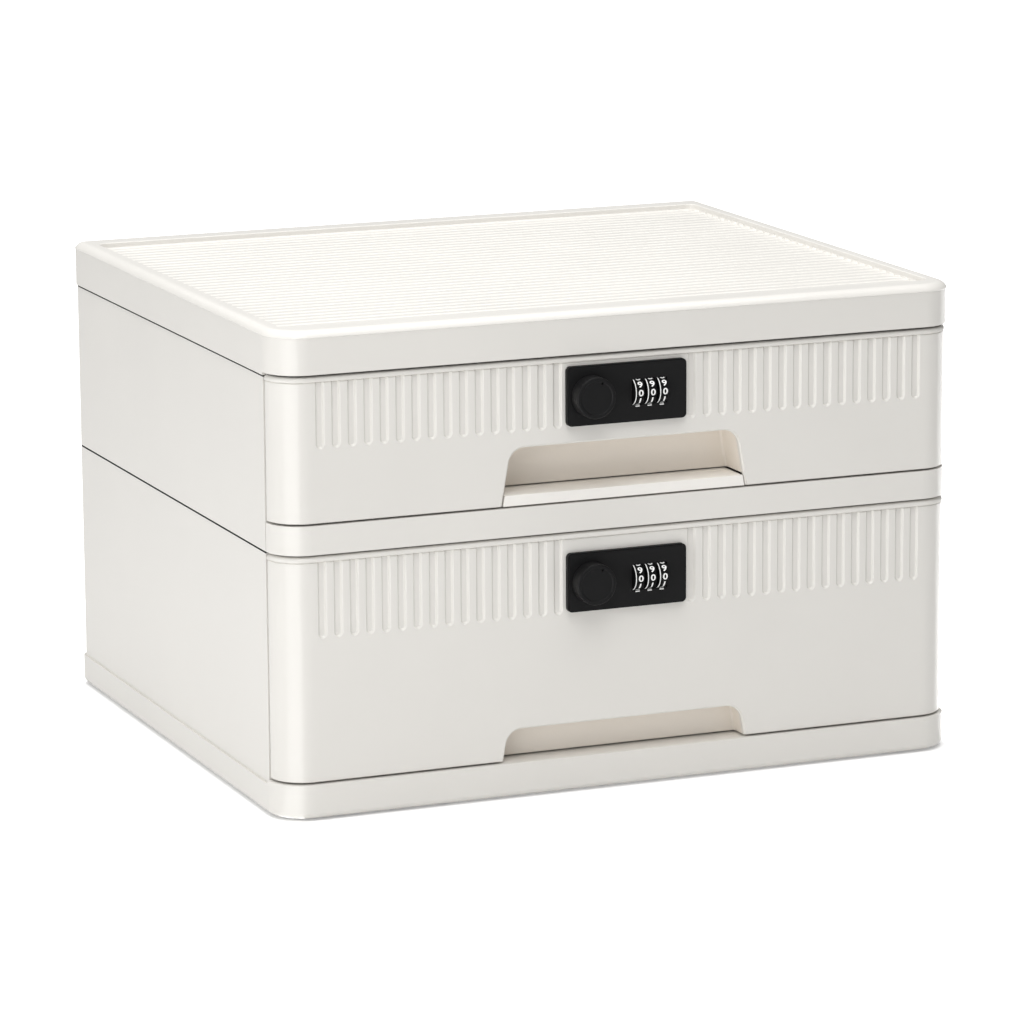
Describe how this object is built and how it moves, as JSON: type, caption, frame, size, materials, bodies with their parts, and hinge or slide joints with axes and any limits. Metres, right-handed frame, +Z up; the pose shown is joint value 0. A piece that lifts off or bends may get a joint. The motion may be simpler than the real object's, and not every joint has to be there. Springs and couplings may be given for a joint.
{
  "type": "desktop file drawer",
  "caption": "Free-standing moulded desktop cabinet with a shallow drawer over a deep one, each with a grip cut-out and a combination lock.",
  "frame": {"origin": "middle of the whole part in plan, on the surface that its feet stand on", "axes": "+X to the right seen from the front, +Y to the back (the drawers open towards -Y), +Z up"},
  "size_m": [0.3826, 0.3428, 0.252],
  "materials": {
    "shell": "satin off-white moulded plastic",
    "inner": "satin off-white moulded plastic",
    "feet": "matte grey rubber",
    "screw_steel": "zinc-plated",
    "lock_black": "fine-grained matte black",
    "knob_black": "fine-grained matte black",
    "dial_black": "matte black with white digits",
    "lock_steel": "zinc-plated",
    "spring_steel": "plain spring steel"
  },
  "bodies": {
    "cabinet": {"top_cover": "shell", "base": "shell", "rubber_feet": "feet", "middle_deck": "shell", "upper_left_side": "shell", "upper_right_side": "shell", "lower_left_side": "shell", "lower_right_side": "shell", "upper_back_panel": "shell", "lower_back_panel": "shell", "upper_left_runner": "inner", "upper_right_runner": "inner", "lower_left_runner": "inner", "lower_right_runner": "inner", "base_screws": "screw_steel", "tier_screws": "screw_steel", "cover_screws": "screw_steel", "runner_screws": "screw_steel"},
    "upper_drawer": {"upper_tray": "inner", "upper_front": "shell", "upper_front_screws": "screw_steel", "upper_lock_bezel": "lock_black", "upper_lock_back_cover": "lock_black", "upper_lock_bridge": "lock_steel", "upper_lock_screws": "lock_steel", "upper_lock_gate": "lock_steel", "upper_dial_axle": "lock_steel", "upper_detent_spring": "spring_steel"},
    "upper_knob": {"upper_lock_knob": "knob_black", "upper_lock_cam": "lock_steel", "upper_cam_screw": "lock_steel"},
    "upper_dial_left": {"upper_dial_left": "dial_black"},
    "upper_dial_middle": {"upper_dial_middle": "dial_black"},
    "upper_dial_right": {"upper_dial_right": "dial_black"},
    "lower_drawer": {"lower_tray": "inner", "lower_front": "shell", "lower_front_screws": "screw_steel", "lower_lock_bezel": "lock_black", "lower_lock_back_cover": "lock_black", "lower_lock_bridge": "lock_steel", "lower_lock_screws": "lock_steel", "lower_lock_gate": "lock_steel", "lower_dial_axle": "lock_steel", "lower_detent_spring": "spring_steel"},
    "lower_knob": {"lower_lock_knob": "knob_black", "lower_lock_cam": "lock_steel", "lower_cam_screw": "lock_steel"},
    "lower_dial_left": {"lower_dial_left": "dial_black"},
    "lower_dial_middle": {"lower_dial_middle": "dial_black"},
    "lower_dial_right": {"lower_dial_right": "dial_black"}
  },
  "joints": [
    {"name": "upper_drawer_slide", "type": "slide", "parent": "cabinet", "child": "upper_drawer", "axis": [0, -1, 0], "range_m": [0, 0.235]},
    {"name": "upper_knob_turn", "type": "hinge", "parent": "upper_drawer", "child": "upper_knob", "pos_m": [-0.0208, -0.1649, 0.2082], "axis": [0, 1, 0], "range_deg": [0, 90]},
    {"name": "upper_dial_left_spin", "type": "hinge", "parent": "upper_drawer", "child": "upper_dial_left", "pos_m": [0.0055, -0.1597, 0.2082], "axis": [1, 0, 0], "continuous": true},
    {"name": "upper_dial_middle_spin", "type": "hinge", "parent": "upper_drawer", "child": "upper_dial_middle", "pos_m": [0.0123, -0.1597, 0.2082], "axis": [1, 0, 0], "continuous": true},
    {"name": "upper_dial_right_spin", "type": "hinge", "parent": "upper_drawer", "child": "upper_dial_right", "pos_m": [0.0191, -0.1597, 0.2082], "axis": [1, 0, 0], "continuous": true},
    {"name": "lower_drawer_slide", "type": "slide", "parent": "cabinet", "child": "lower_drawer", "axis": [0, -1, 0], "range_m": [0, 0.235]},
    {"name": "lower_knob_turn", "type": "hinge", "parent": "lower_drawer", "child": "lower_knob", "pos_m": [-0.0208, -0.1649, 0.1109], "axis": [0, 1, 0], "range_deg": [0, 90]},
    {"name": "lower_dial_left_spin", "type": "hinge", "parent": "lower_drawer", "child": "lower_dial_left", "pos_m": [0.0055, -0.1597, 0.1109], "axis": [1, 0, 0], "continuous": true},
    {"name": "lower_dial_middle_spin", "type": "hinge", "parent": "lower_drawer", "child": "lower_dial_middle", "pos_m": [0.0123, -0.1597, 0.1109], "axis": [1, 0, 0], "continuous": true},
    {"name": "lower_dial_right_spin", "type": "hinge", "parent": "lower_drawer", "child": "lower_dial_right", "pos_m": [0.0191, -0.1597, 0.1109], "axis": [1, 0, 0], "continuous": true}
  ]
}
